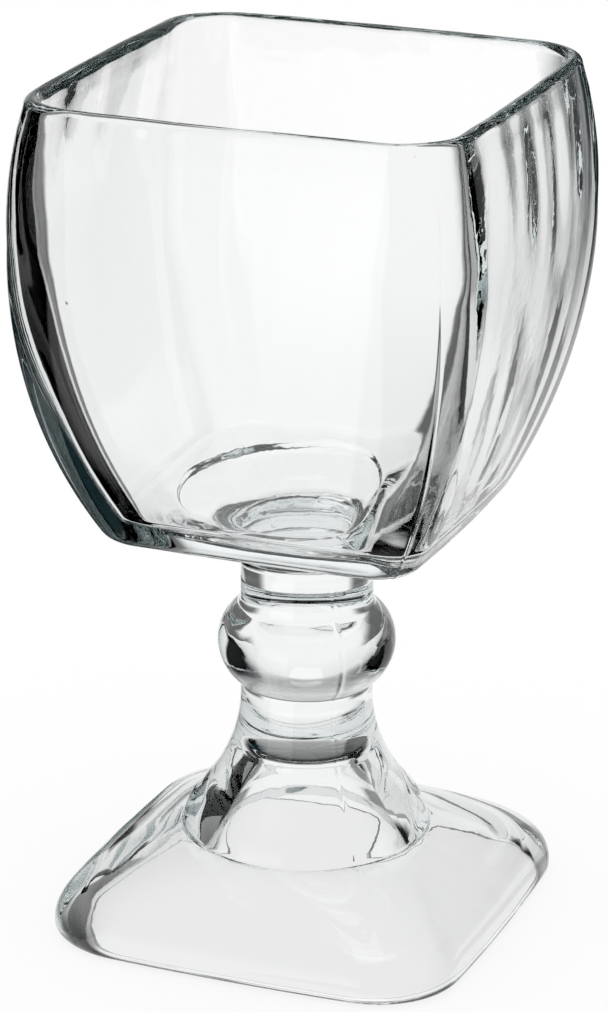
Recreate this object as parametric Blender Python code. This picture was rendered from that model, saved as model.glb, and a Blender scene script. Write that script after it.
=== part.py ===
"""Square stemmed cocktail glass in clear pressed glass, standing on its foot with +Z up.

The glass is five lengths of glass on one upright axis: a bellied square bowl, a round neck, a knop,
a hollow bell-shaped stem and a square pillow-topped foot. Square lengths are lofted through rings,
round lengths are turned from a profile, and every profile is a chain of arcs and straight runs.
"""

import math

import bmesh
import bpy

# Driving dimensions, in metres
HEIGHT = 0.180
JOINT_GAP = 0.0003

# Rings of the square lengths: a flat side bows out by a small arc, and the corners are round
SIDE_BOW = math.radians(2.7)

# Bowl, outside: two big arcs meet at the belly, and a small one turns the heel
BELLY_HALF_WIDTH = 0.0506
BELLY_Z = 0.1507
BELLY_CORNER = 0.018
UPPER_ARC = 0.105
LOWER_ARC = 0.1275
HEEL_Z = 0.0894
HEEL_RADIUS = 0.0040
HEEL_CORNER = 0.0085
UNDERSIDE_SLOPE = math.radians(20.0)
NECK_FILLET = 0.008

# Bowl, lip and inside: two arcs meet at the inner belly, and a fillet turns into a square floor
LIP_THICKNESS = 0.0036
LIP_CORNER = 0.0145
INSIDE_BELLY_Z = 0.155
INSIDE_BELLY_HALF_WIDTH = 0.0451
INSIDE_BELLY_CORNER = 0.0138
INSIDE_LOWER_ARC = 0.132
INSIDE_FOOT_CORNER = 0.0112

# Bowl, floor: a round recess, with a step down at its ring and a shallow dish inside it
FLOOR_Z = 0.0938
FLOOR_FILLET = 0.003
FLOOR_EDGE_CORNER = 0.009
FLOOR_RING_RADIUS = 0.0258
FLOOR_STEP = 0.0016
FLOOR_STEP_RUN = 0.0003
FLOOR_DISH = 0.0015

# Neck and knop
NECK_RADIUS = 0.0138
NECK_LOW_Z = 0.0681
KNOP_RADIUS = 0.0186
KNOP_Z = 0.0597
KNOP_UPPER_ARC = 0.0098
KNOP_LOWER_ARC = 0.0107

# Stem: straight waist, concave shoulder and convex skirt, with a hollow inside
STEM_RADIUS = 0.0138
STEM_TOP_Z = 0.0508
STEM_WAIST_Z = 0.0485
STEM_SHOULDER_ARC = 0.0335
STEM_FLARE = math.radians(42.0)
HOLLOW_TOP_Z = 0.0350
HOLLOW_TOP_RADIUS = 0.0085
HOLLOW_TOP_ROUND = 0.0020
HOLLOW_CREASE_Z = 0.0142
HOLLOW_CREASE_RADIUS = 0.0200

# Foot: pillow top, rounded rim, flat bearing rim and a domed underside
FOOT_HALF_WIDTH = 0.0454
FOOT_CORNER = 0.0182
FOOT_TOP_Z = 0.0185
FOOT_TOP_RADIUS = 0.0262
FOOT_BASE_ROUND = 0.0025
FOOT_BASE_CORNER_SHARE = 0.5
FOOT_EDGE_ROUND = 0.0095
FOOT_EDGE_SLOPE = math.radians(32.0)
FOOT_RIM_WIDTH = 0.0025
FOOT_RIM_INSIDE_Z = 0.0040
FOOT_RIM_INSIDE_HALF_WIDTH = 0.0376
FOOT_RIM_INSIDE_CORNER = 0.0140
FOOT_DOME_RISE = 0.0016

# Fineness: straight facets along each arc
SIDE_STEPS = 4
CORNER_STEPS = 8
TURN_STEPS = 40
WALL_STEPS = 12
SMALL_ARC_STEPS = 4
LONG_ARC_STEPS = 8
RUN_STEPS = 4
SHARP_ANGLE = math.radians(35.0)
MERGE_DISTANCE = 1e-6


def clear_scene():
    """Start from an empty scene."""
    for old in list(bpy.data.objects):
        bpy.data.objects.remove(old, do_unlink=True)


def glass(name):
    """Clear, faintly green soda-lime glass with a fire-polished surface."""
    material = bpy.data.materials.new(name)
    material.use_nodes = True
    shader = material.node_tree.nodes["Principled BSDF"]
    shader.inputs["Base Color"].default_value = (0.93, 0.97, 0.96, 1.0)
    shader.inputs["Roughness"].default_value = 0.02
    shader.inputs["Metallic"].default_value = 0.0
    shader.inputs["IOR"].default_value = 1.52
    shader.inputs["Transmission Weight"].default_value = 1.0
    return material


def arc(center_x, center_z, radius, start, end, steps):
    """Points (x, z) along an arc. Angles are measured from +X towards +Z."""
    points = []
    for step in range(steps + 1):
        angle = start + (end - start) * step / steps
        points.append((center_x + radius * math.cos(angle), center_z + radius * math.sin(angle)))
    return points


def leaving_arc(start, heading, end, steps):
    """Points (x, z) of the one arc that leaves the start along a heading and ends on the end point.

    The chord turns from the heading by half of the arc's own turn, which gives the radius. A radius
    below zero is an arc that bends to the right.
    """
    run = end[0] - start[0]
    rise = end[1] - start[1]
    half_turn = math.atan2(rise, run) - heading
    radius = math.hypot(run, rise) / (2 * math.sin(half_turn))
    first = heading - math.pi / 2
    center_x = start[0] - radius * math.cos(first)
    center_z = start[1] - radius * math.sin(first)
    return arc(center_x, center_z, radius, first, first + 2 * half_turn, steps)


def blend(start, end, share):
    """The value that lies a given share of the way from start to end."""
    return start + (end - start) * share


def rounded_square(half_width, corner):
    """Ring (x, y) with four faintly bowed sides and four round corners that meet them smoothly.

    The side arc's radius follows from the half width, the corner radius and the bow, so a corner
    as large as the half width gives a circle.
    """
    corner = min(corner, half_width)
    span = math.cos(SIDE_BOW) - math.sin(SIDE_BOW)
    side = (half_width - corner * span) / (1.0 - span)
    corner_center = (side - corner) * math.sin(SIDE_BOW)
    quarter = arc(half_width - side, 0.0, side, -SIDE_BOW, SIDE_BOW, SIDE_STEPS)[:-1]
    quarter += arc(corner_center, corner_center, corner, SIDE_BOW, math.pi / 2 - SIDE_BOW, CORNER_STEPS)[:-1]
    ring = []
    for cosine, sine in ((1, 0), (0, 1), (-1, 0), (0, -1)):
        ring += [(cosine * x - sine * y, sine * x + cosine * y) for x, y in quarter]
    return ring


def add_ring(bm, station):
    """The ring's vertices at a station (half width, corner radius, z)."""
    half_width, corner, z = station
    return [bm.verts.new((x, y, z)) for x, y in rounded_square(half_width, corner)]


def loft(bm, stations, closed):
    """Skin the rings in order. A closed loft joins its last ring to its first, another is capped."""
    rings = [add_ring(bm, station) for station in stations]
    pairs = list(zip(rings, rings[1:]))
    if closed:
        pairs.append((rings[-1], rings[0]))
    for near, far in pairs:
        for index in range(len(near)):
            bm.faces.new((near[index - 1], near[index], far[index], far[index - 1]))
    if not closed:
        bm.faces.new(rings[0])
        bm.faces.new(rings[-1])


def turn(bm, profile):
    """Spin a profile of (radius, z) points, which starts and ends on the axis, round +Z."""
    verts = [bm.verts.new((radius, 0.0, z)) for radius, z in profile]
    edges = [bm.edges.new(pair) for pair in zip(verts, verts[1:])]
    bmesh.ops.spin(bm, geom=verts + edges, axis=(0, 0, 1), cent=(0, 0, 0), steps=TURN_STEPS,
                   angle=2 * math.pi, use_merge=True)
    bmesh.ops.remove_doubles(bm, verts=bm.verts, dist=MERGE_DISTANCE)


def finish(bm, name, base_z, parent):
    """Turn the mesh into a named glass object whose origin is on the axis, at its lower joint."""
    bmesh.ops.recalc_face_normals(bm, faces=bm.faces)
    bmesh.ops.translate(bm, verts=bm.verts, vec=(0, 0, -base_z))
    mesh = bpy.data.meshes.new(name)
    bm.to_mesh(mesh)
    bm.free()
    mesh.shade_smooth()
    mesh.set_sharp_from_angle(angle=SHARP_ANGLE)
    mesh.materials.append(glass(name + "_glass"))
    piece = bpy.data.objects.new(name, mesh)
    piece.location = (0, 0, base_z)
    piece.parent = parent
    bpy.context.scene.collection.objects.link(piece)


def belly_half_width(z):
    """Half width of the outer wall: a big arc above the belly and another below it."""
    radius = UPPER_ARC if z > BELLY_Z else LOWER_ARC
    return BELLY_HALF_WIDTH - radius + math.sqrt(radius ** 2 - (z - BELLY_Z) ** 2)


def belly_corner(z):
    """Corner radius of the outer wall, widest at the belly."""
    if z > BELLY_Z:
        return blend(BELLY_CORNER, LIP_CORNER, (z - BELLY_Z) / (HEIGHT - BELLY_Z))
    return blend(BELLY_CORNER, HEEL_CORNER, (BELLY_Z - z) / (BELLY_Z - HEEL_Z))


def bowl_wall_stations():
    """Outer wall from the neck joint up over the underside, the heel and the belly to the lip."""
    heel_tilt = math.asin((BELLY_Z - HEEL_Z) / LOWER_ARC)
    heel_x = belly_half_width(HEEL_Z) - HEEL_RADIUS * math.cos(heel_tilt)
    heel_z = HEEL_Z + HEEL_RADIUS * math.sin(heel_tilt)
    heel = arc(heel_x, heel_z, HEEL_RADIUS, UNDERSIDE_SLOPE - math.pi / 2, -heel_tilt, SMALL_ARC_STEPS)
    edge_x, edge_z = heel[0]
    # The underside cone meets the neck in a fillet, whose tangent length follows from the slope
    cone_z = edge_z - (edge_x - NECK_RADIUS) * math.tan(UNDERSIDE_SLOPE)
    neck_top_z = cone_z - NECK_FILLET * math.tan((math.pi / 2 - UNDERSIDE_SLOPE) / 2)
    fillet = arc(NECK_RADIUS + NECK_FILLET, neck_top_z, NECK_FILLET, math.pi,
                 math.pi / 2 + UNDERSIDE_SLOPE, SMALL_ARC_STEPS)
    cone_x, cone_low_z = fillet[-1]
    stations = [(x, x, z) for x, z in fillet]
    for step in range(1, RUN_STEPS):
        share = step / RUN_STEPS
        x = blend(cone_x, edge_x, share)
        stations.append((x, blend(cone_x, HEEL_CORNER, share), blend(cone_low_z, edge_z, share)))
    stations += [(x, HEEL_CORNER, z) for x, z in heel]
    lip_z = HEIGHT - LIP_THICKNESS / 2
    for step in range(1, WALL_STEPS + 1):
        z = blend(HEEL_Z, lip_z, step / WALL_STEPS)
        stations.append((belly_half_width(z), belly_corner(z), z))
    return stations


def bowl_lip_stations(outer_half_width, lip_z):
    """Half-round lip from the outer wall to the inner one."""
    radius = LIP_THICKNESS / 2
    middle = outer_half_width - radius
    stations = []
    for x, z in arc(middle, lip_z, radius, 0.0, math.pi, LONG_ARC_STEPS)[1:]:
        stations.append((x, LIP_CORNER - (outer_half_width - x), z))
    return stations


def bowl_inside_stations(lip):
    """Inner wall from the lip down: an arc to the inner belly, one below it and the floor's fillet.

    The fillet's center lies its own radius above the floor and as far inside the wall's arc.
    """
    lip_x, lip_corner, lip_z = lip
    rise = lip_z - INSIDE_BELLY_Z
    sag = INSIDE_BELLY_HALF_WIDTH - lip_x
    upper_arc = (rise ** 2 + sag ** 2) / (2 * sag)
    upper = arc(INSIDE_BELLY_HALF_WIDTH - upper_arc, INSIDE_BELLY_Z, upper_arc, math.asin(rise / upper_arc),
                0.0, SMALL_ARC_STEPS)[1:]
    center_x = INSIDE_BELLY_HALF_WIDTH - INSIDE_LOWER_ARC
    fillet_z = FLOOR_Z + FLOOR_FILLET
    reach = INSIDE_LOWER_ARC - FLOOR_FILLET
    fillet_x = center_x + math.sqrt(reach ** 2 - (INSIDE_BELLY_Z - fillet_z) ** 2)
    wall_end = math.atan2(fillet_z - INSIDE_BELLY_Z, fillet_x - center_x)
    lower = arc(center_x, INSIDE_BELLY_Z, INSIDE_LOWER_ARC, 0.0, wall_end, LONG_ARC_STEPS)[1:]
    fillet = arc(fillet_x, fillet_z, FLOOR_FILLET, wall_end, -math.pi / 2, SMALL_ARC_STEPS)[1:]
    lower_drop = INSIDE_BELLY_Z - lower[-1][1]
    stations = []
    for x, z in upper:
        stations.append((x, blend(INSIDE_BELLY_CORNER, lip_corner, (z - INSIDE_BELLY_Z) / rise), z))
    for x, z in lower:
        share = (INSIDE_BELLY_Z - z) / lower_drop
        stations.append((x, blend(INSIDE_BELLY_CORNER, INSIDE_FOOT_CORNER, share), z))
    for step, (x, z) in enumerate(fillet, start=1):
        stations.append((x, blend(INSIDE_FOOT_CORNER, FLOOR_EDGE_CORNER, step / SMALL_ARC_STEPS), z))
    return stations


def bowl_floor_stations():
    """Floor from the round ring on it, down the step and in across the parabola of the dish."""
    stations = [(FLOOR_RING_RADIUS, FLOOR_RING_RADIUS, FLOOR_Z)]
    edge = FLOOR_RING_RADIUS - FLOOR_STEP_RUN
    for step in range(RUN_STEPS):
        radius = edge * (1.0 - step / RUN_STEPS)
        dip = FLOOR_DISH * (1.0 - (radius / FLOOR_RING_RADIUS) ** 2)
        stations.append((radius, radius, FLOOR_Z - FLOOR_STEP - dip))
    return stations


def make_bowl(parent):
    """Square bellied bowl, one closed skin from the neck joint over the lip to the floor inside."""
    wall = bowl_wall_stations()
    lip = bowl_lip_stations(wall[-1][0], wall[-1][2])
    inside = bowl_inside_stations(lip[-1])
    joint_z = wall[0][2]
    bm = bmesh.new()
    loft(bm, wall + lip + inside + bowl_floor_stations(), closed=False)
    finish(bm, "bowl", joint_z, parent)
    return joint_z


def make_neck(parent, top_z):
    """Short round collar under the bowl."""
    low_z = NECK_LOW_Z
    high_z = top_z - JOINT_GAP
    bm = bmesh.new()
    turn(bm, [(0.0, high_z), (NECK_RADIUS, high_z), (NECK_RADIUS, low_z), (0.0, low_z)])
    finish(bm, "neck", low_z, parent)


def make_knop(parent):
    """Knop of two arcs, one above its widest line and one below it."""
    high_z = NECK_LOW_Z - JOINT_GAP
    low_z = STEM_TOP_Z + JOINT_GAP
    upper_start = math.asin((high_z - KNOP_Z) / KNOP_UPPER_ARC)
    lower_end = -math.asin((KNOP_Z - low_z) / KNOP_LOWER_ARC)
    upper = arc(KNOP_RADIUS - KNOP_UPPER_ARC, KNOP_Z, KNOP_UPPER_ARC, upper_start, 0.0, LONG_ARC_STEPS)
    lower = arc(KNOP_RADIUS - KNOP_LOWER_ARC, KNOP_Z, KNOP_LOWER_ARC, 0.0, lower_end, LONG_ARC_STEPS)[1:]
    bm = bmesh.new()
    turn(bm, [(0.0, high_z)] + upper + lower + [(0.0, low_z)])
    finish(bm, "knop", low_z, parent)


def hollow_radius(z):
    """Radius of the straight-sided hollow in the bell at a height."""
    share = (z - HOLLOW_CREASE_Z) / (HOLLOW_TOP_Z - HOLLOW_CREASE_Z)
    return blend(HOLLOW_CREASE_RADIUS, HOLLOW_TOP_RADIUS, share)


def make_stem(parent):
    """Hollow bell: straight waist, concave shoulder, convex skirt, then the hollow back up inside."""
    low_z = FOOT_TOP_Z + JOINT_GAP
    shoulder = arc(STEM_RADIUS + STEM_SHOULDER_ARC, STEM_WAIST_Z, STEM_SHOULDER_ARC, math.pi,
                   math.pi + STEM_FLARE, LONG_ARC_STEPS)
    skirt = leaving_arc(shoulder[-1], STEM_FLARE - math.pi / 2, (FOOT_TOP_RADIUS, low_z), SMALL_ARC_STEPS)[1:]
    wall_end = HOLLOW_TOP_Z - HOLLOW_TOP_ROUND
    roof = arc(hollow_radius(wall_end) - HOLLOW_TOP_ROUND, wall_end, HOLLOW_TOP_ROUND, 0.0, math.pi / 2,
               SMALL_ARC_STEPS)
    profile = [(0.0, STEM_TOP_Z), (STEM_RADIUS, STEM_TOP_Z)] + shoulder + skirt
    for step in range(RUN_STEPS):
        z = blend(low_z, wall_end, step / RUN_STEPS)
        profile.append((hollow_radius(z), z))
    profile += roof + [(0.0, HOLLOW_TOP_Z)]
    bm = bmesh.new()
    turn(bm, profile)
    finish(bm, "stem", low_z, parent)


def base_corner(half_width):
    """Corner radius of a ring at the foot's base, which tightens as the ring moves in."""
    return FOOT_CORNER - (FOOT_HALF_WIDTH - half_width) * FOOT_BASE_CORNER_SHARE


def foot_top_stations():
    """Foot from the underside's edge up over the rounded rim and the pillow top to the stem joint."""
    base = arc(FOOT_HALF_WIDTH - FOOT_BASE_ROUND, FOOT_BASE_ROUND, FOOT_BASE_ROUND, -math.pi / 2, 0.0,
               SMALL_ARC_STEPS)
    rim = arc(FOOT_HALF_WIDTH - FOOT_EDGE_ROUND, FOOT_BASE_ROUND, FOOT_EDGE_ROUND, 0.0,
              math.pi / 2 - FOOT_EDGE_SLOPE, SMALL_ARC_STEPS)
    pillow = leaving_arc(rim[-1], math.pi - FOOT_EDGE_SLOPE, (FOOT_TOP_RADIUS, FOOT_TOP_Z), LONG_ARC_STEPS)
    stations = [(x, base_corner(x), z) for x, z in base]
    stations += [(x, FOOT_CORNER, z) for x, z in rim[1:]]
    for step, (x, z) in enumerate(pillow[1:], start=1):
        stations.append((x, blend(FOOT_CORNER, FOOT_TOP_RADIUS, step / LONG_ARC_STEPS), z))
    return stations


def foot_underside_stations():
    """From the stem joint down the hollow, out under the dome and down to the flat bearing rim."""
    joint_radius = hollow_radius(FOOT_TOP_Z)
    stations = [(joint_radius, joint_radius, FOOT_TOP_Z)]
    for step in range(LONG_ARC_STEPS + 1):
        share = step / LONG_ARC_STEPS
        bulge = 4 * FOOT_DOME_RISE * share * (1 - share)
        stations.append((blend(HOLLOW_CREASE_RADIUS, FOOT_RIM_INSIDE_HALF_WIDTH, share),
                         blend(HOLLOW_CREASE_RADIUS, FOOT_RIM_INSIDE_CORNER, share),
                         blend(HOLLOW_CREASE_Z, FOOT_RIM_INSIDE_Z, share) + bulge))
    rim_half_width = FOOT_HALF_WIDTH - FOOT_BASE_ROUND - FOOT_RIM_WIDTH
    stations.append((rim_half_width, base_corner(rim_half_width), 0.0))
    return stations


def make_foot(parent):
    """Square foot with a domed underside round the hollow, skinned as one closed tube of rings."""
    bm = bmesh.new()
    loft(bm, foot_top_stations() + foot_underside_stations(), closed=True)
    finish(bm, "foot", 0.0, parent)


def main():
    clear_scene()
    axis = bpy.data.objects.new("glass_axis", None)
    bpy.context.scene.collection.objects.link(axis)
    bowl_joint_z = make_bowl(axis)
    make_neck(axis, bowl_joint_z)
    make_knop(axis)
    make_stem(axis)
    make_foot(axis)


main()
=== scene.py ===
"""Looks of a heavy square cocktail glass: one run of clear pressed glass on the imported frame.

Bowl, neck, knop, stem and foot are fused on the real glass, and a gap between two of them would shine
like a mirror. So one closed surface, a profile carried round rounded-square rings, stands for all five.
Lengths are metres and +Z is up. Angles are radians, and degrees among the values of the studio.
"""
import math

import bpy
import numpy as np
from mathutils import Matrix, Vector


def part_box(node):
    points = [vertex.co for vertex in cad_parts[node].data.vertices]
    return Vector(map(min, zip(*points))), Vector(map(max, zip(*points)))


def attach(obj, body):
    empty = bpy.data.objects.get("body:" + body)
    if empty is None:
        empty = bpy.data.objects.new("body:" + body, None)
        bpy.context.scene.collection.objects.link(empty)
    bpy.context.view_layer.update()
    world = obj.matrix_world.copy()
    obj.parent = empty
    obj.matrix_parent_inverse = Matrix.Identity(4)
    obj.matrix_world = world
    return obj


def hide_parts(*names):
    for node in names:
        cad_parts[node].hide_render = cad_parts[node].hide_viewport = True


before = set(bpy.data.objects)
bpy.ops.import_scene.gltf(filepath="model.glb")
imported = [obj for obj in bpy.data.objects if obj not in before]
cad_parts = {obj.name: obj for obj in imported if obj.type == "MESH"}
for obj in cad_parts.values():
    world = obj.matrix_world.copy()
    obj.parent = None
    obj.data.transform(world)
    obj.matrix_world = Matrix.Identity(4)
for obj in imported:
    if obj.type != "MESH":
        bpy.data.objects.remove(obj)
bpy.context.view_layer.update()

# Sizes that the frame gives
BOWL_LOW, BOWL_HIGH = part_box("bowl")
NECK_LOW, NECK_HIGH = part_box("neck")
_, KNOP_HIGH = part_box("knop")
_, STEM_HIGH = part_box("stem")
_, FOOT_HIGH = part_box("foot")
HEIGHT = BOWL_HIGH[2]
BELLY_HALF_WIDTH = BOWL_HIGH[0]
NECK_TOP_Z = BOWL_LOW[2]
NECK_RADIUS = NECK_HIGH[0]
NECK_LOW_Z = NECK_LOW[2]
KNOP_RADIUS = KNOP_HIGH[0]
STEM_TOP_Z = STEM_HIGH[2]
FOOT_TOP_RADIUS = STEM_HIGH[0]
FOOT_TOP_Z = FOOT_HIGH[2]
FOOT_HALF_WIDTH = FOOT_HIGH[0]

# Rings: four faintly bowed sides and four round corners
SIDE_BOW = math.radians(2.7)
SIDE_STEPS = 26
CORNER_STEPS = 26
CORNER_CROWDING = 0.7
PROFILE_ROWS = 360

# Points along the stretches of the profile, before its rows are spread
ARC_POINTS = 60
RUN_POINTS = 60
INSIDE_WALL_POINTS = 200
INSIDE_UPPER_WALL_POINTS = 100
OUTSIDE_WALL_POINTS = 240
NECK_POINTS = 20
UNDERSIDE_POINTS = 80

# Bowl, outside
BELLY_Z = 0.1507
BELLY_CORNER = 0.018
UPPER_ARC = 0.105
LOWER_ARC = 0.1275
HEEL_Z = 0.0894
HEEL_RADIUS = 0.0040
HEEL_CORNER = 0.0085
UNDERSIDE_SLOPE = math.radians(20.0)
NECK_FILLET = 0.008

# Bowl, lip and inside
LIP_THICKNESS = 0.0036
LIP_CORNER = 0.0145
INSIDE_BELLY_Z = 0.155
INSIDE_BELLY_HALF_WIDTH = 0.0451
INSIDE_BELLY_CORNER = 0.0138
INSIDE_LOWER_ARC = 0.132
INSIDE_FOOT_CORNER = 0.0112
FLOOR_Z = 0.0938
FLOOR_FILLET = 0.003
FLOOR_EDGE_CORNER = 0.009
FLOOR_RING_RADIUS = 0.0258
FLOOR_STEP = 0.0016
FLOOR_STEP_RUN = 0.0003
FLOOR_DISH = 0.0015

# Knop, stem and the hollow in them
KNOP_Z = 0.0597
KNOP_UPPER_ARC = 0.0098
KNOP_LOWER_ARC = 0.0107
STEM_RADIUS = 0.0138
STEM_WAIST_Z = 0.0485
STEM_SHOULDER_ARC = 0.0335
STEM_FLARE = math.radians(42.0)
HOLLOW_TOP_Z = 0.0350
HOLLOW_TOP_RADIUS = 0.0085
HOLLOW_TOP_ROUND = 0.0020
HOLLOW_CREASE_Z = 0.0142
HOLLOW_CREASE_RADIUS = 0.0200

# Foot
FOOT_CORNER = 0.0182
FOOT_BASE_ROUND = 0.0025
FOOT_EDGE_ROUND = 0.0095
FOOT_EDGE_SLOPE = math.radians(32.0)
FOOT_RIM_WIDTH = 0.0025
FOOT_RIM_INSIDE_Z = 0.0040
FOOT_RIM_INSIDE_HALF_WIDTH = 0.0376
FOOT_RIM_INSIDE_CORNER = 0.0140
FOOT_DOME_RISE = 0.0016
BASE_CORNER_SHARE = 0.5

# Marks of the mould and the fire polish
SOFTENING = 0.00035
SOFTENING_STEP = 0.0001
SOFTENING_WIDTHS = 4
SMALLEST_STEP = 1e-7
SMALLEST_NORMAL = 1e-12
BEND_LENGTH = 0.012
SEAM_HEIGHT = 0.00010
SEAM_WIDTH = 0.00035
RING_MARK_DROP = 0.0066
RING_MARK_HEIGHT = 0.00006
RING_MARK_WIDTH = 0.0005
RIPPLE_HEIGHT = 0.00003
RIPPLE_WAVES = 9
RIPPLE_COUNT_FROM, RIPPLE_COUNT_BELOW = 4, 27
RIPPLE_HALF_COUNT = 12.0
RIPPLE_CLIMB = 140.0
RIPPLE_SEED = 21
INSIDE_RIPPLE = 4.2
INSIDE_RIPPLE_Z = 0.163
INSIDE_RIPPLE_REACH = 0.012

# Glass
GLASS_IOR = 1.52
GLASS_TINT = (0.75, 0.90, 0.90, 1.0)
GLASS_TINT_DENSITY = 4.0
SCUFF_HEIGHT = 0.0005
SCUFF_ROUGHNESS = 0.25
SKIN_SCALE = 260.0
SKIN_DETAIL = 2.0
SKIN_ROUGHNESS = 0.5
SKIN_DEPTH = 0.000012
SEED_SCALE = 46.0
SEED_REACH = 0.02
SEED_DEPTH = 0.00015

# Camera, as fitted to the outline of the glass in the photograph
PHOTO_LONG_SIDE = 1012
CAMERA_BEARING = math.radians(21.6)
CAMERA_DISTANCE = 0.787
CAMERA_HEIGHT = 0.3744
CAMERA_PITCH = math.radians(19.95)
CAMERA_ROLL = math.radians(0.2)
CAMERA_FOCAL_PIXELS = 4063.0
CAMERA_OFF_CENTRE_PIXELS = 3.2
CAMERA_CLIP_START = 0.01
SENSOR_WIDTH_MM = 36.0


def arc(centre_x, centre_z, radius, start, end, count=ARC_POINTS):
    """Points (x, z) of a circle's arc, x = cx + r cos t and z = cz + r sin t for t from start to end."""
    turn = np.linspace(start, end, count)
    return np.column_stack([centre_x + radius * np.cos(turn), centre_z + radius * np.sin(turn)])


def leaving_arc(start, heading, end):
    """Points (x, z) of the arc that leaves the start along a heading and ends on the end point.

    Half of the arc's turn lies between heading and chord, so its radius is the chord over twice the
    sine of that angle. A radius below zero bends to the right.
    """
    run, rise = end[0] - start[0], end[1] - start[1]
    half_turn = math.atan2(rise, run) - heading
    radius = math.hypot(run, rise) / (2 * math.sin(half_turn))
    first = heading - math.pi / 2
    return arc(start[0] - radius * math.cos(first), start[1] - radius * math.sin(first), radius,
               first, first + 2 * half_turn)


def between(start, end, share):
    """The value a given share of the way from start to end."""
    return start + (end - start) * share


def stations(half_width, corner, z):
    """Rows (half width, corner radius, z), one for each ring of the surface."""
    half_width, corner, z = np.broadcast_arrays(half_width, corner, z)
    return np.column_stack([half_width, corner, z])


def round_stations(points):
    """Rows for round rings, whose corner radius is the half width itself."""
    return stations(points[:, 0], points[:, 0], points[:, 1])


def belly_half_width(z):
    """Outer wall: the belly's half width less the sag of a big arc, one above the belly, one below."""
    radius = np.where(z > BELLY_Z, UPPER_ARC, LOWER_ARC)
    return BELLY_HALF_WIDTH - radius + np.sqrt(radius ** 2 - (z - BELLY_Z) ** 2)


def belly_corner(z):
    """Corner radius of the outer wall, falling in a straight line from the belly to lip and heel."""
    above = between(BELLY_CORNER, LIP_CORNER, (z - BELLY_Z) / (HEIGHT - BELLY_Z))
    below = between(BELLY_CORNER, HEEL_CORNER, (BELLY_Z - z) / (BELLY_Z - HEEL_Z))
    return np.where(z > BELLY_Z, above, below)


def floor_stations():
    """Inside floor: a dish, z falling by a parabola to the middle, with a step up at its ring."""
    radius = np.linspace(0.0, FLOOR_RING_RADIUS - FLOOR_STEP_RUN, RUN_POINTS)
    dish_z = FLOOR_Z - FLOOR_STEP - FLOOR_DISH * (1.0 - (radius / FLOOR_RING_RADIUS) ** 2)
    return stations(radius, radius, dish_z)


def inside_stations():
    """Inside wall: flat floor edge, small fillet, then an arc up to the inner belly and one to the lip.

    The fillet's centre lies its own radius above the floor and as far inside the wall's arc.
    """
    lip_z = HEIGHT - LIP_THICKNESS / 2
    lip_x = belly_half_width(lip_z) - LIP_THICKNESS
    centre_x = INSIDE_BELLY_HALF_WIDTH - INSIDE_LOWER_ARC
    fillet_z = FLOOR_Z + FLOOR_FILLET
    reach = INSIDE_LOWER_ARC - FLOOR_FILLET
    fillet_x = centre_x + math.sqrt(reach ** 2 - (fillet_z - INSIDE_BELLY_Z) ** 2)
    wall_start = math.atan2(fillet_z - INSIDE_BELLY_Z, fillet_x - centre_x)
    share = np.linspace(0.0, 1.0, RUN_POINTS)
    edge = stations(between(FLOOR_RING_RADIUS, fillet_x, share),
                    between(FLOOR_RING_RADIUS, FLOOR_EDGE_CORNER, share), FLOOR_Z)
    fillet = arc(fillet_x, fillet_z, FLOOR_FILLET, -math.pi / 2, wall_start)
    lower = arc(centre_x, INSIDE_BELLY_Z, INSIDE_LOWER_ARC, wall_start, 0.0, INSIDE_WALL_POINTS)
    rise = lip_z - INSIDE_BELLY_Z
    sag = INSIDE_BELLY_HALF_WIDTH - lip_x
    upper_arc = (rise ** 2 + sag ** 2) / (2 * sag)
    upper = arc(INSIDE_BELLY_HALF_WIDTH - upper_arc, INSIDE_BELLY_Z, upper_arc, 0.0,
                math.asin(rise / upper_arc), INSIDE_UPPER_WALL_POINTS)
    lower_share = (lower[:, 1] - lower[0, 1]) / (INSIDE_BELLY_Z - lower[0, 1])
    upper_share = (upper[:, 1] - INSIDE_BELLY_Z) / rise
    upper_corner = between(INSIDE_BELLY_CORNER, LIP_CORNER - LIP_THICKNESS, upper_share)
    return np.concatenate([
        edge,
        stations(fillet[:, 0], between(FLOOR_EDGE_CORNER, INSIDE_FOOT_CORNER, share), fillet[:, 1]),
        stations(lower[:, 0], between(INSIDE_FOOT_CORNER, INSIDE_BELLY_CORNER, lower_share), lower[:, 1]),
        stations(upper[:, 0], upper_corner, upper[:, 1]),
    ])


def lip_stations():
    """Half-round lip from the inner wall over the top to the outer one."""
    lip_z = HEIGHT - LIP_THICKNESS / 2
    outer_x = belly_half_width(lip_z)
    lip = arc(outer_x - LIP_THICKNESS / 2, lip_z, LIP_THICKNESS / 2, math.pi, 0.0)
    return stations(lip[:, 0], LIP_CORNER - (outer_x - lip[:, 0]), lip[:, 1])


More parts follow.
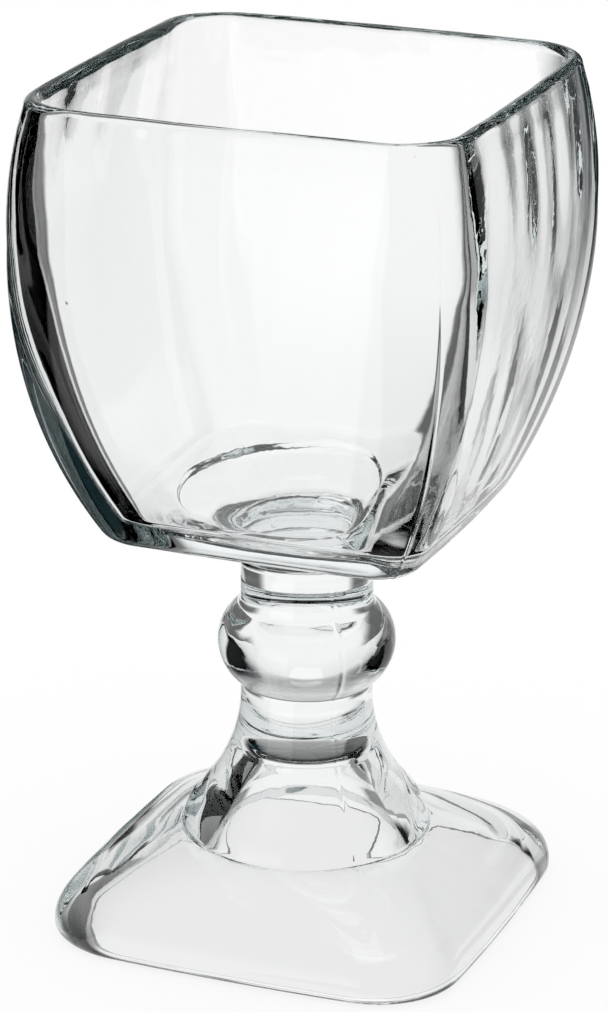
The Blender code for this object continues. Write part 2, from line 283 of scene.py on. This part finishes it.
def outside_stations():
    """Outer wall down to the heel, round it, in along the underside's cone and down a fillet to the neck."""
    z = np.linspace(HEIGHT - LIP_THICKNESS / 2, HEEL_Z, OUTSIDE_WALL_POINTS)
    wall = stations(belly_half_width(z), belly_corner(z), z)
    tilt = math.asin((BELLY_Z - HEEL_Z) / LOWER_ARC)
    heel_x = belly_half_width(HEEL_Z) - HEEL_RADIUS * math.cos(tilt)
    heel_z = HEEL_Z + HEEL_RADIUS * math.sin(tilt)
    heel = arc(heel_x, heel_z, HEEL_RADIUS, -tilt, UNDERSIDE_SLOPE - math.pi / 2)
    fillet = arc(NECK_RADIUS + NECK_FILLET, NECK_TOP_Z, NECK_FILLET, math.pi / 2 + UNDERSIDE_SLOPE, math.pi)
    share = np.linspace(0.0, 1.0, RUN_POINTS)
    cone = stations(between(heel[-1, 0], fillet[0, 0], share), between(HEEL_CORNER, fillet[0, 0], share),
                    between(heel[-1, 1], fillet[0, 1], share))
    return np.concatenate([wall, stations(heel[:, 0], HEEL_CORNER, heel[:, 1]), cone, round_stations(fillet)])


def stem_stations():
    """Neck, knop of two arcs, then the bell: straight waist, concave shoulder arc and convex skirt arc."""
    neck_z = np.linspace(NECK_TOP_Z, NECK_LOW_Z, NECK_POINTS)
    neck = np.column_stack([np.full(NECK_POINTS, NECK_RADIUS), neck_z])
    knop_start = math.asin((NECK_LOW_Z - KNOP_Z) / KNOP_UPPER_ARC)
    knop_end = -math.asin((KNOP_Z - STEM_TOP_Z) / KNOP_LOWER_ARC)
    knop_upper = arc(KNOP_RADIUS - KNOP_UPPER_ARC, KNOP_Z, KNOP_UPPER_ARC, knop_start, 0.0)
    knop_lower = arc(KNOP_RADIUS - KNOP_LOWER_ARC, KNOP_Z, KNOP_LOWER_ARC, 0.0, knop_end)
    shoulder = arc(STEM_RADIUS + STEM_SHOULDER_ARC, STEM_WAIST_Z, STEM_SHOULDER_ARC,
                   math.pi, math.pi + STEM_FLARE)
    skirt = leaving_arc(shoulder[-1], STEM_FLARE - math.pi / 2, (FOOT_TOP_RADIUS, FOOT_TOP_Z))
    return round_stations(np.concatenate([neck, knop_upper, knop_lower, shoulder, skirt]))


def foot_stations():
    """Foot: one pillow arc from the stem to the rounded rim, the rim and the base edge down to the table."""
    rim = arc(FOOT_HALF_WIDTH - FOOT_EDGE_ROUND, FOOT_BASE_ROUND, FOOT_EDGE_ROUND,
              math.pi / 2 - FOOT_EDGE_SLOPE, 0.0)
    base = arc(FOOT_HALF_WIDTH - FOOT_BASE_ROUND, FOOT_BASE_ROUND, FOOT_BASE_ROUND, 0.0, -math.pi / 2)
    pillow = leaving_arc(rim[0], math.pi - FOOT_EDGE_SLOPE, (FOOT_TOP_RADIUS, FOOT_TOP_Z))[::-1]
    share = np.linspace(0.0, 1.0, RUN_POINTS)
    return np.concatenate([
        stations(pillow[:, 0], between(FOOT_TOP_RADIUS, FOOT_CORNER, share), pillow[:, 1]),
        stations(rim[:, 0], FOOT_CORNER, rim[:, 1]),
        stations(base[:, 0], FOOT_CORNER - (FOOT_HALF_WIDTH - base[:, 0]) * BASE_CORNER_SHARE, base[:, 1]),
    ])


def underside_stations():
    """Flat bearing rim, a short rise inside it, the foot's dome and the straight hollow up to its roof.

    The dome's bulge over a straight slope is a parabola, 4 h t (1 - t), with its rise h in the middle.
    """
    inset = FOOT_HALF_WIDTH - FOOT_BASE_ROUND - FOOT_RIM_WIDTH
    inset_corner = FOOT_CORNER - (FOOT_HALF_WIDTH - inset) * BASE_CORNER_SHARE
    share = np.linspace(0.0, 1.0, UNDERSIDE_POINTS)
    rise = stations(between(inset, FOOT_RIM_INSIDE_HALF_WIDTH, share),
                    between(inset_corner, FOOT_RIM_INSIDE_CORNER, share),
                    between(0.0, FOOT_RIM_INSIDE_Z, share))
    dome_bulge = 4 * FOOT_DOME_RISE * share * (1 - share)
    dome = stations(between(FOOT_RIM_INSIDE_HALF_WIDTH, HOLLOW_CREASE_RADIUS, share),
                    between(FOOT_RIM_INSIDE_CORNER, HOLLOW_CREASE_RADIUS, share),
                    between(FOOT_RIM_INSIDE_Z, HOLLOW_CREASE_Z, share) + dome_bulge)
    roof_share = 1.0 - HOLLOW_TOP_ROUND / (HOLLOW_TOP_Z - HOLLOW_CREASE_Z)
    side = np.column_stack([between(HOLLOW_CREASE_RADIUS, HOLLOW_TOP_RADIUS, share * roof_share),
                            between(HOLLOW_CREASE_Z, HOLLOW_TOP_Z, share * roof_share)])
    roof = arc(side[-1, 0] - HOLLOW_TOP_ROUND, side[-1, 1], HOLLOW_TOP_ROUND, 0.0, math.pi / 2)
    flat = np.column_stack([between(roof[-1, 0], 0.0, share), np.full(len(share), HOLLOW_TOP_Z)])
    return np.concatenate([rise, dome, round_stations(np.concatenate([side, roof, flat]))])


def soften(profile):
    """Fire polish: the profile, stepped evenly along its length, is averaged with a bell-shaped weight.

    Rows are then spread by length plus turning, so tight bends keep more of them.
    """
    step = np.linalg.norm(np.diff(profile[:, [0, 2]], axis=0), axis=1)
    profile = profile[np.concatenate([[True], step > SMALLEST_STEP])]
    length = np.concatenate([[0.0], np.cumsum(np.linalg.norm(np.diff(profile[:, [0, 2]], axis=0), axis=1))])
    even = np.arange(0.0, length[-1], SOFTENING_STEP)
    rows = np.column_stack([np.interp(even, length, column) for column in profile.T])
    reach = int(SOFTENING_WIDTHS * SOFTENING / SOFTENING_STEP)
    offset = np.arange(-reach, reach + 1) * SOFTENING_STEP
    weight = np.exp(-0.5 * (offset / SOFTENING) ** 2)
    weight /= weight.sum()
    mirrored = np.array([-1.0, -1.0, 1.0])
    padded = np.concatenate([rows[reach:0:-1] * mirrored, rows, rows[-2:-reach - 2:-1] * mirrored])
    rows = np.column_stack([np.convolve(column, weight, "valid") for column in padded.T])
    rows[[0, -1], :2] = 0.0
    leg = np.diff(rows[:, [0, 2]], axis=0)
    turning = np.abs(np.diff(np.unwrap(np.arctan2(leg[:, 1], leg[:, 0]))))
    spread = np.concatenate([[0.0], np.cumsum(np.linalg.norm(leg, axis=1))])
    spread += np.cumsum(np.concatenate([[0.0], turning, [0.0]])) * BEND_LENGTH
    place = np.linspace(0.0, spread[-1], PROFILE_ROWS)
    return np.column_stack([np.interp(place, spread, column) for column in rows.T])


def ring_grid(profile):
    """Points of all rings as an array (row, column, xyz).

    A ring has side arcs of a large radius S and corner arcs of radius r, both tangent at the bow angle:
    S = (a - r k) / (1 - k) with k = cos(bow) - sin(bow), so r = a gives a circle. One side and one corner
    are worked out and turned three times by a quarter.
    """
    half_width = profile[:, 0:1]
    corner = np.minimum(profile[:, 1:2], half_width)
    k = math.cos(SIDE_BOW) - math.sin(SIDE_BOW)
    side = (half_width - corner * k) / (1.0 - k)
    centre = (side - corner) * math.sin(SIDE_BOW)
    along_side = np.linspace(-SIDE_BOW, SIDE_BOW, SIDE_STEPS + 1)[:-1]
    # Columns crowd towards the middle of a corner, where the mould seam runs
    across = np.linspace(-1.0, 1.0, CORNER_STEPS + 1)[:-1]
    across = (1.0 - CORNER_CROWDING) * across + CORNER_CROWDING * across ** 3
    round_corner = math.pi / 4 + across * (math.pi / 4 - SIDE_BOW)
    side_x = half_width - side + side * np.cos(along_side)
    side_y = side * np.sin(along_side)
    x = np.concatenate([side_x, centre + corner * np.cos(round_corner)], 1)
    y = np.concatenate([side_y, centre + corner * np.sin(round_corner)], 1)
    x, y = np.concatenate([x, -y, -x, y], 1), np.concatenate([y, x, -y, -x], 1)
    z = np.broadcast_to(profile[:, 2:3], x.shape)
    return np.stack([x, y, z], 2)


def outward(grid):
    """Unit normals of the grid, from the cross product of its two directions, pointing out of the glass."""
    down = np.gradient(grid, axis=0)
    around = (np.roll(grid, -1, 1) - np.roll(grid, 1, 1)) / 2
    normal = np.cross(down, around)
    return normal / np.maximum(np.linalg.norm(normal, axis=2, keepdims=True), SMALLEST_NORMAL)


def mould_marks(grid, outside):
    """Height of the mould's marks: two upright seams on opposite corners and a ring below the lip.

    Each is a bell-shaped ridge, exp(-(d / width)^2), over the distance d from its line.
    """
    x, y, z = grid[..., 0], grid[..., 1], grid[..., 2]
    across_seam = (x + y) / math.sqrt(2.0)
    lip_fade = np.clip((HEIGHT - RING_MARK_DROP - z) / RING_MARK_DROP, 0.0, 1.0)
    on_corner = np.abs(x - y) > NECK_RADIUS
    seam = SEAM_HEIGHT * np.exp(-(across_seam / SEAM_WIDTH) ** 2) * on_corner * lip_fade
    ring = RING_MARK_HEIGHT * np.exp(-((z - HEIGHT + RING_MARK_DROP) / RING_MARK_WIDTH) ** 2)
    return (seam + ring) * outside


def ripples(grid, seed, stronger):
    """Slow waves of the fire-polished skin: a sum of sines that run mostly round the glass.

    A sine's height halves by the time it has RIPPLE_HALF_COUNT waves round the glass. A bell-shaped
    weight over the height makes them stronger, by the given share, in a band below the lip.
    """
    random = np.random.RandomState(seed)
    bearing = np.arctan2(grid[..., 1], grid[..., 0])
    height = grid[..., 2]
    total = np.zeros(bearing.shape)
    for _ in range(RIPPLE_WAVES):
        count = random.randint(RIPPLE_COUNT_FROM, RIPPLE_COUNT_BELOW)
        climb = random.uniform(-RIPPLE_CLIMB, RIPPLE_CLIMB)
        phase = random.uniform(0.0, 2 * math.pi)
        weight = RIPPLE_HALF_COUNT / (RIPPLE_HALF_COUNT + count)
        total += np.sin(count * bearing + climb * height + phase) * weight
    radius = np.hypot(grid[..., 0], grid[..., 1])
    band = 1.0 + stronger * np.exp(-((height - INSIDE_RIPPLE_Z) / INSIDE_RIPPLE_REACH) ** 2)
    return RIPPLE_HEIGHT * total * band * np.clip(radius / BELLY_HALF_WIDTH, 0.0, 1.0)


def glass_grid():
    """The whole skin as a grid, from the middle of the inside floor over the lip to the hollow's roof."""
    inside = [floor_stations(), inside_stations(), lip_stations()]
    outer = [outside_stations(), stem_stations(), foot_stations()]
    profile = soften(np.concatenate(inside + outer + [underside_stations()]))
    grid = ring_grid(profile)
    top_row = np.argmax(profile[:, 2])
    base_row = len(profile) - 1 - np.argmin(profile[::-1, 2])
    row = np.arange(len(profile))[:, None]
    outside = (row > top_row) & (row < base_row)
    waves = np.where(outside, ripples(grid, RIPPLE_SEED, 0.0), ripples(grid, RIPPLE_SEED + 1, INSIDE_RIPPLE))
    height = mould_marks(grid, outside) + waves
    flat_to_table = np.clip(grid[..., 2] / FOOT_BASE_ROUND, 0.0, 1.0)
    return grid + outward(grid) * (height * flat_to_table)[..., None]


def skin_mesh(name, grid):
    """A closed mesh from the grid: its first and last rows shrink to one vertex each."""
    rows, columns = grid.shape[:2]
    middle = grid[1:-1].reshape(-1, 3)
    points = np.concatenate([grid[:1, 0], middle, grid[-1:, 0]])
    column = np.arange(columns)
    following = (column + 1) % columns
    first = 1 + np.arange(rows - 3)[:, None] * columns
    second = first + columns
    quads = np.stack([first + column, second + column, second + following, first + following], 2)
    last_ring = 1 + (rows - 3) * columns
    start_fan = np.column_stack([np.zeros(columns, int), 1 + column, 1 + following])
    end_fan = np.column_stack([np.full(columns, len(points) - 1), last_ring + following, last_ring + column])
    mesh = bpy.data.meshes.new(name)
    faces = quads.reshape(-1, 4).tolist() + start_fan.tolist() + end_fan.tolist()
    mesh.from_pydata(points.tolist(), [], faces)
    mesh.update()
    mesh.shade_smooth()
    return mesh


def node(tree, kind, **values):
    """A new shader node whose named inputs or properties are set."""
    made = tree.nodes.new(kind)
    for key, value in values.items():
        if key in made.inputs:
            made.inputs[key].default_value = value
        else:
            setattr(made, key, value)
    return made


def remap(tree, value, start, end, low=0.0, high=1.0, kind="LINEAR"):
    """Map Range: low at the start, high at the end and held beyond them."""
    made = node(tree, "ShaderNodeMapRange", interpolation_type=kind, clamp=True)
    made.inputs["From Min"].default_value = start
    made.inputs["From Max"].default_value = end
    made.inputs["To Min"].default_value = low
    made.inputs["To Max"].default_value = high
    tree.links.new(value, made.inputs["Value"])
    return made.outputs["Result"]


def clear_pressed_glass():
    """Clear soda-lime glass: faint green-grey absorption, a finely uneven skin and a scuffed bearing rim."""
    material = bpy.data.materials.new("clear_pressed_glass")
    material.use_nodes = True
    tree = material.node_tree
    shader = tree.nodes["Principled BSDF"]
    shader.inputs["Base Color"].default_value = (1.0, 1.0, 1.0, 1.0)
    shader.inputs["IOR"].default_value = GLASS_IOR
    shader.inputs["Transmission Weight"].default_value = 1.0
    absorption = node(tree, "ShaderNodeVolumeAbsorption", Color=GLASS_TINT, Density=GLASS_TINT_DENSITY)
    tree.links.new(absorption.outputs["Volume"], tree.nodes["Material Output"].inputs["Volume"])
    place = tree.nodes.new("ShaderNodeTexCoord").outputs["Object"]
    # Scuffs where the foot stands: rough only on the lowest half millimetre
    split = tree.nodes.new("ShaderNodeSeparateXYZ")
    tree.links.new(place, split.inputs["Vector"])
    scuff = remap(tree, split.outputs["Z"], SCUFF_HEIGHT, 0.0, 0.0, SCUFF_ROUGHNESS)
    tree.links.new(scuff, shader.inputs["Roughness"])
    # Fine unevenness of the polished skin and a few small seeds
    skin = node(tree, "ShaderNodeTexNoise", Scale=SKIN_SCALE, Detail=SKIN_DETAIL, Roughness=SKIN_ROUGHNESS)
    tree.links.new(place, skin.inputs["Vector"])
    skin_bump = node(tree, "ShaderNodeBump", Strength=1.0, Distance=SKIN_DEPTH)
    tree.links.new(skin.outputs["Fac"], skin_bump.inputs["Height"])
    seeds = node(tree, "ShaderNodeTexVoronoi", Scale=SEED_SCALE)
    tree.links.new(place, seeds.inputs["Vector"])
    seed_pit = remap(tree, seeds.outputs["Distance"], 0.0, SEED_REACH)
    seed_bump = node(tree, "ShaderNodeBump", Strength=1.0, Distance=SEED_DEPTH)
    tree.links.new(seed_pit, seed_bump.inputs["Height"])
    tree.links.new(skin_bump.outputs["Normal"], seed_bump.inputs["Normal"])
    tree.links.new(seed_bump.outputs["Normal"], shader.inputs["Normal"])
    return material


def cocktail_glass():
    """The glass, riding on the frame in place of its five solids."""
    mesh = skin_mesh("cocktail_glass", glass_grid())
    mesh.materials.append(clear_pressed_glass())
    piece = bpy.data.objects.new("cocktail_glass", mesh)
    bpy.context.scene.collection.objects.link(piece)
    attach(piece, "root")
    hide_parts("bowl", "neck", "knop", "stem", "foot")


# Studio. Angles are degrees: bearings to the right of the camera's line of sight, as seen from the glass,
# their half widths and fades, and heights above the level
FLOOR_SIZE = 6.0
FLOOR_DROP = 0.0002
FLOOR_GREY = 0.92
FLOOR_ROUGHNESS = 0.9
FLOOR_GLOW_SHARE = 0.85
SECTOR_EDGE = 4.0
RING_EDGE_SHARE = 0.1
# Straight through the glass: white, with four dark diagonals of painted shade on the floor and a dark upper
# room
DIAGONALS = (45.0, -45.0, 135.0, -135.0)
DIAGONAL_HALF_WIDTH = 14.0
DIAGONAL_FADE = 10.0
DIAGONAL_START = 0.10
DIAGONAL_PAINTED_SHADE = 0.85
ROOM_FADE_START = 18.0
ROOM_FADE_END = 28.0
UPPER_ROOM_BRIGHTNESS = 0.2
# Mirrored in the glass: a black room with bright patches, a bright middle of the floor and a bright zenith.
# On the floor the bright middle and patches are painted light and the black is painted shade.
MIDDLE_RADIUS = 0.065
MIDDLE_BRIGHTNESS = 0.8
# Painted shadow: how much darker rays straight through the glass see the middle of the floor
MIDDLE_SHADE = 0.10
PATCHES = (
    # bearing, half width, brightness of near floor, far floor and wall above them, top of the wall
    (4.0, 29.0, 0.85, 0.85, 0.85, 42.0),
    (-34.0, 24.0, 0.0, 0.0, 0.25, 50.0),
    (-137.0, 20.0, 1.0, 1.0, 1.0, 30.0),
    (42.0, 24.0, 0.75, 0.35, 0.9, 10.0),
)
NEAR_FLOOR_END = 0.28
FAR_FLOOR_START = 0.40
ZENITH_START = 74.0
ZENITH_FADE_SHARE = 0.3
# Dark board of painted shade that hangs behind the right of the glass, faded out at its sides and its lower
# edge
BOARD_SHADE_COLOUR = (0.01, 0.025, 0.03, 1.0)
BOARD_BEARING = 40.0
BOARD_HALF_WIDTH = 13.0
BOARD_SIDE_FADE = 10.0
BOARD_DISTANCE = 0.15
BOARD_FOOT = 0.085
BOARD_FADE = 0.04
BOARD_TOP = 0.30
BOARD_VEIL = 0.6
# Lamp above the glass
LAMP_SIZE = 0.8
LAMP_POWER = 2.5
LAMP_HEIGHT = 1.3
GLASS_BOUNCES = 32


def plane_mesh(name, corners):
    """One flat four-sided face."""
    mesh = bpy.data.meshes.new(name)
    mesh.from_pydata(corners, [], [(0, 1, 2, 3)])
    return mesh


def stage_object(name, mesh, material):
    """An object of the studio, which isn't part of the glass."""
    mesh.materials.append(material)
    thing = bpy.data.objects.new(name, mesh)
    bpy.context.scene.collection.objects.link(thing)
    return thing


def chain(tree, operation, *terms, clamp=False):
    """Math nodes of one operation in a row, over sockets and numbers."""
    result = terms[0]
    for term in terms[1:]:
        made = node(tree, "ShaderNodeMath", operation=operation, use_clamp=clamp)
        for socket, value in zip(made.inputs, (result, term)):
            if isinstance(value, (int, float)):
                socket.default_value = value
            else:
                tree.links.new(value, socket)
        result = made.outputs["Value"]
    return result


def ease(tree, value, start, end):
    """Nought at the start, one at the end, smooth between."""
    return remap(tree, value, start, end, kind="SMOOTHSTEP")


def level_direction(tree, place):
    """The level part of a place or direction, at length one, and its length before that."""
    level = node(tree, "ShaderNodeVectorMath", operation="MULTIPLY")
    level.inputs[1].default_value = (1.0, 1.0, 0.0)
    tree.links.new(place, level.inputs[0])
    unit = node(tree, "ShaderNodeVectorMath", operation="NORMALIZE")
    tree.links.new(level.outputs["Vector"], unit.inputs[0])
    length = node(tree, "ShaderNodeVectorMath", operation="LENGTH")
    tree.links.new(level.outputs["Vector"], length.inputs[0])
    return unit.outputs["Vector"], length.outputs["Value"]


def sector(tree, level, bearing, half_width, edge=SECTOR_EDGE):
    """One inside a sector round a bearing and nought outside, by the cosine of the angle to it."""
    angle = math.radians(bearing) - CAMERA_BEARING
    cosine = node(tree, "ShaderNodeVectorMath", operation="DOT_PRODUCT")
    cosine.inputs[1].default_value = (math.sin(angle), math.cos(angle), 0.0)
    tree.links.new(level, cosine.inputs[0])
    outer = math.cos(math.radians(half_width + edge / 2))
    inner = math.cos(math.radians(half_width - edge / 2))
    return ease(tree, cosine.outputs["Value"], outer, inner)


def diagonals(tree, level):
    """One on the four dark diagonals of painted shade."""
    each = [sector(tree, level, bearing, DIAGONAL_HALF_WIDTH, DIAGONAL_FADE) for bearing in DIAGONALS]
    return chain(tree, "MAXIMUM", *each)


def by_path(tree, straight, mirrored):
    """Brightness by Light Path, and the share of it that glows by itself.

    The eye sees one, rays that went straight through glass see one brightness and mirrored ones the other.
    """
    path = tree.nodes.new("ShaderNodeLightPath")
    glossy, through = path.outputs["Is Glossy Ray"], path.outputs["Is Transmission Ray"]
    in_glass = chain(tree, "ADD", glossy, through, clamp=True)
    was_mirrored = chain(tree, "MINIMUM", path.outputs["Glossy Depth"], 1.0)
    behind_glass = node(tree, "ShaderNodeMix", data_type="FLOAT")
    tree.links.new(was_mirrored, behind_glass.inputs["Factor"])
    tree.links.new(straight, behind_glass.inputs["A"])
    tree.links.new(mirrored, behind_glass.inputs["B"])
    brightness = node(tree, "ShaderNodeMix", data_type="FLOAT")
    brightness.inputs["A"].default_value = 1.0
    tree.links.new(in_glass, brightness.inputs["Factor"])
    tree.links.new(behind_glass.outputs["Result"], brightness.inputs["B"])
    to_eye = chain(tree, "MULTIPLY", path.outputs["Is Camera Ray"], FLOOR_GLOW_SHARE)
    return brightness.outputs["Result"], chain(tree, "ADD", to_eye, in_glass, clamp=True)


def white_floor():
    """Pale floor: mostly its own white for the eye and the glass, and a lit share that keeps the shadow. The
    glass sees painted shade on four diagonals and a painted shadow in the middle straight through, and
    painted light in patches and the middle on painted black in reflections.
    """
    material = bpy.data.materials.new("white_floor")
    material.use_nodes = True
    tree = material.node_tree
    paint = tree.nodes["Principled BSDF"]
    paint.inputs["Base Color"].default_value = (FLOOR_GREY, FLOOR_GREY, FLOOR_GREY, 1.0)
    paint.inputs["Roughness"].default_value = FLOOR_ROUGHNESS
    paint.inputs["Specular IOR Level"].default_value = 0.0
    place = tree.nodes.new("ShaderNodeTexCoord").outputs["Object"]
    level, distance = level_direction(tree, place)
    inner, outer = 1.0 - RING_EDGE_SHARE, 1.0 + RING_EDGE_SHARE
    # Painted shade: the floor turns dark on four diagonal sectors away from the glass, for rays through the
    # glass only
    away = ease(tree, distance, DIAGONAL_START * inner, DIAGONAL_START * outer)
    dark = chain(tree, "MULTIPLY", diagonals(tree, level), away, DIAGONAL_PAINTED_SHADE)
    # Painted shadow: the middle of the floor a little darker for rays straight through the glass
    near = ease(tree, distance, MIDDLE_RADIUS * outer, MIDDLE_RADIUS * inner)
    straight = chain(tree, "SUBTRACT", 1.0, dark, chain(tree, "MULTIPLY", near, MIDDLE_SHADE))
    # Painted light and shade in the glass's reflections: the floor glows in its middle and in patches and is
    # black elsewhere
    middle = chain(tree, "MULTIPLY", near, MIDDLE_BRIGHTNESS)
    far_share = ease(tree, distance, NEAR_FLOOR_END, FAR_FLOOR_START)
    patches = []
    for bearing, half_width, near_floor, far_floor, _, _ in PATCHES:
        change = chain(tree, "MULTIPLY", far_share, far_floor - near_floor)
        lit = chain(tree, "ADD", near_floor, change)
        patches.append(chain(tree, "MULTIPLY", sector(tree, level, bearing, half_width), lit))
    mirrored = chain(tree, "MAXIMUM", middle, *patches)
    brightness, glowing = by_path(tree, straight, mirrored)
    glow = node(tree, "ShaderNodeEmission")
    tree.links.new(brightness, glow.inputs["Strength"])
    mix = tree.nodes.new("ShaderNodeMixShader")
    tree.links.new(glowing, mix.inputs["Fac"])
    tree.links.new(paint.outputs["BSDF"], mix.inputs[1])
    tree.links.new(glow.outputs["Emission"], mix.inputs[2])
    tree.links.new(mix.outputs["Shader"], tree.nodes["Material Output"].inputs["Surface"])
    half = FLOOR_SIZE / 2
    corners = [(-half, -half, -FLOOR_DROP), (half, -half, -FLOOR_DROP), (half, half, -FLOOR_DROP),
               (-half, half, -FLOOR_DROP)]
    stage_object("floor", plane_mesh("floor", corners), material)


def painted_shade_board():
    """A dark board of painted shade for the glass to mirror. Only the glass sees it, and straight rays see it
    veiled.
    """
    material = bpy.data.materials.new("painted_shade_board")
    material.use_nodes = True
    tree = material.node_tree
    paint = tree.nodes["Principled BSDF"]
    # Painted shade: a near-black slate colour that only the glass shows
    paint.inputs["Base Color"].default_value = BOARD_SHADE_COLOUR
    paint.inputs["Specular IOR Level"].default_value = 0.0
    place = tree.nodes.new("ShaderNodeTexCoord").outputs["Object"]
    split = tree.nodes.new("ShaderNodeSeparateXYZ")
    tree.links.new(place, split.inputs["Vector"])
    level, _ = level_direction(tree, place)
    path = tree.nodes.new("ShaderNodeLightPath")
    veil = chain(tree, "MINIMUM", chain(tree, "ADD", path.outputs["Glossy Depth"], BOARD_VEIL), 1.0)
    across = sector(tree, level, BOARD_BEARING, BOARD_HALF_WIDTH, BOARD_SIDE_FADE)
    upward = ease(tree, split.outputs["Z"], BOARD_FOOT, BOARD_FOOT + BOARD_FADE)
    solid = chain(tree, "MULTIPLY", veil, across, upward)
    tree.links.new(solid, paint.inputs["Alpha"])
    angle = math.radians(BOARD_BEARING) - CAMERA_BEARING
    half_width = BOARD_DISTANCE * math.tan(math.radians(BOARD_HALF_WIDTH + BOARD_SIDE_FADE / 2))
    middle = np.array([math.sin(angle), math.cos(angle)]) * BOARD_DISTANCE
    side = np.array([math.cos(angle), -math.sin(angle)]) * half_width
    left, right = middle - side, middle + side
    corners = [(*left, BOARD_FOOT), (*right, BOARD_FOOT), (*right, BOARD_TOP), (*left, BOARD_TOP)]
    board = stage_object("board", plane_mesh("board", corners), material)
    board.visible_camera = False
    board.visible_diffuse = False
    board.visible_shadow = False


def graded_room():
    """World: white for the eye and the floor, dimmer above through the glass, and patches mirrored in it."""
    world = bpy.data.worlds.new("graded_room")
    bpy.context.scene.world = world
    world.use_nodes = True
    tree = world.node_tree
    direction = tree.nodes.new("ShaderNodeTexCoord").outputs["Generated"]
    split = tree.nodes.new("ShaderNodeSeparateXYZ")
    tree.links.new(direction, split.inputs["Vector"])
    height = split.outputs["Z"]
    level, _ = level_direction(tree, direction)
    fade_start, fade_end = math.sin(math.radians(ROOM_FADE_START)), math.sin(math.radians(ROOM_FADE_END))
    dimmed = chain(tree, "MULTIPLY", ease(tree, height, fade_start, fade_end), 1.0 - UPPER_ROOM_BRIGHTNESS)
    straight = chain(tree, "SUBTRACT", 1.0, dimmed)
    patches = []
    for bearing, half_width, _, _, wall, wall_top in PATCHES:
        upward = ease(tree, height, math.sin(math.radians(wall_top)), 0.0)
        patches.append(chain(tree, "MULTIPLY", sector(tree, level, bearing, half_width), wall, upward))
    zenith_start = math.sin(math.radians(ZENITH_START))
    zenith = ease(tree, height, zenith_start, between(zenith_start, 1.0, ZENITH_FADE_SHARE))
    mirrored = chain(tree, "MAXIMUM", zenith, *patches)
    brightness, _ = by_path(tree, straight, mirrored)
    tree.links.new(brightness, tree.nodes["Background"].inputs["Strength"])
    tree.nodes["Background"].inputs["Color"].default_value = (1.0, 1.0, 1.0, 1.0)


def soft_top_light():
    """One broad lamp above the glass, which gives the floor its soft shadow."""
    lamp = bpy.data.lights.new("top_light", "AREA")
    lamp.shape = "SQUARE"
    lamp.size = LAMP_SIZE
    lamp.energy = LAMP_POWER
    thing = bpy.data.objects.new("top_light", lamp)
    thing.location = (0.0, 0.0, LAMP_HEIGHT)
    thing.visible_glossy = False
    thing.visible_transmission = False
    bpy.context.scene.collection.objects.link(thing)


def photo_camera():
    """The camera at the photograph's place, looking down at the glass from its front right."""
    data = bpy.data.cameras.new("camera")
    data.sensor_width = SENSOR_WIDTH_MM
    data.lens = CAMERA_FOCAL_PIXELS * SENSOR_WIDTH_MM / PHOTO_LONG_SIDE
    data.shift_x = -CAMERA_OFF_CENTRE_PIXELS / PHOTO_LONG_SIDE
    data.clip_start = CAMERA_CLIP_START
    camera = bpy.data.objects.new("camera", data)
    place = Matrix.Translation((CAMERA_DISTANCE * math.sin(CAMERA_BEARING),
                                -CAMERA_DISTANCE * math.cos(CAMERA_BEARING), CAMERA_HEIGHT))
    turn = Matrix.Rotation(CAMERA_BEARING, 4, "Z") @ Matrix.Rotation(math.pi / 2 - CAMERA_PITCH, 4, "X")
    camera.matrix_world = place @ turn @ Matrix.Rotation(CAMERA_ROLL, 4, "Z")
    bpy.context.scene.collection.objects.link(camera)
    bpy.context.scene.camera = camera


def light_paths():
    """Enough bounces for light to cross the thick glass many times."""
    bpy.context.scene.cycles.max_bounces = GLASS_BOUNCES
    bpy.context.scene.cycles.transmission_bounces = GLASS_BOUNCES
    bpy.context.scene.cycles.glossy_bounces = GLASS_BOUNCES


cocktail_glass()
white_floor()
painted_shade_board()
graded_room()
soft_top_light()
photo_camera()
light_paths()
bpy.context.scene.view_settings.view_transform = "Standard"
